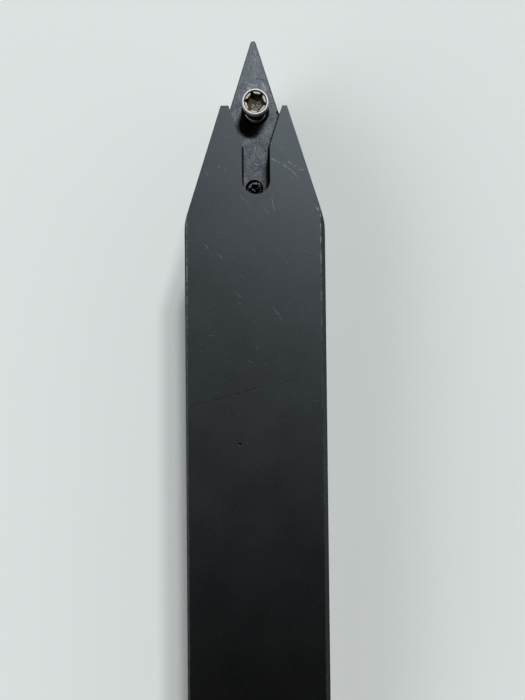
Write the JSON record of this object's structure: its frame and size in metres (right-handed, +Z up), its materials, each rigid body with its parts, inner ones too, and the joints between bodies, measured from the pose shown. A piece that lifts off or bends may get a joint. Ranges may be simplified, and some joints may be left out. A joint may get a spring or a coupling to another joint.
{
  "type": "turning tool holder",
  "caption": "Neutral lathe tool holder with a square shank, a pointed head with an open pocket for a slim diamond insert, and a lobed clamp screw.",
  "frame": {"origin": "middle of the base face, half way along the whole length and half way across the shank", "axes": "+Y along the shank towards the nose, +Z up out of the seat, +X to the right when seen from above with the nose away from the viewer"},
  "size_m": [0.025, 0.1492, 0.0252],
  "materials": {
    "blackened_steel": "satin black oxide, worn bare along the edges",
    "screw_steel": "worn bright steel with brown dirt in the socket",
    "set_screw_steel": "dark oiled steel with bright chips"
  },
  "bodies": {
    "holder": {"holder_body": "blackened_steel", "grub_screw": "set_screw_steel"},
    "screw": {"clamp_screw": "screw_steel"}
  },
  "joints": [
    {"name": "clamp_turn", "type": "hinge", "parent": "holder", "child": "screw", "pos_m": [0.00028, 0.06139, 0.02024], "axis": [0, 0, 1], "continuous": true}
  ]
}
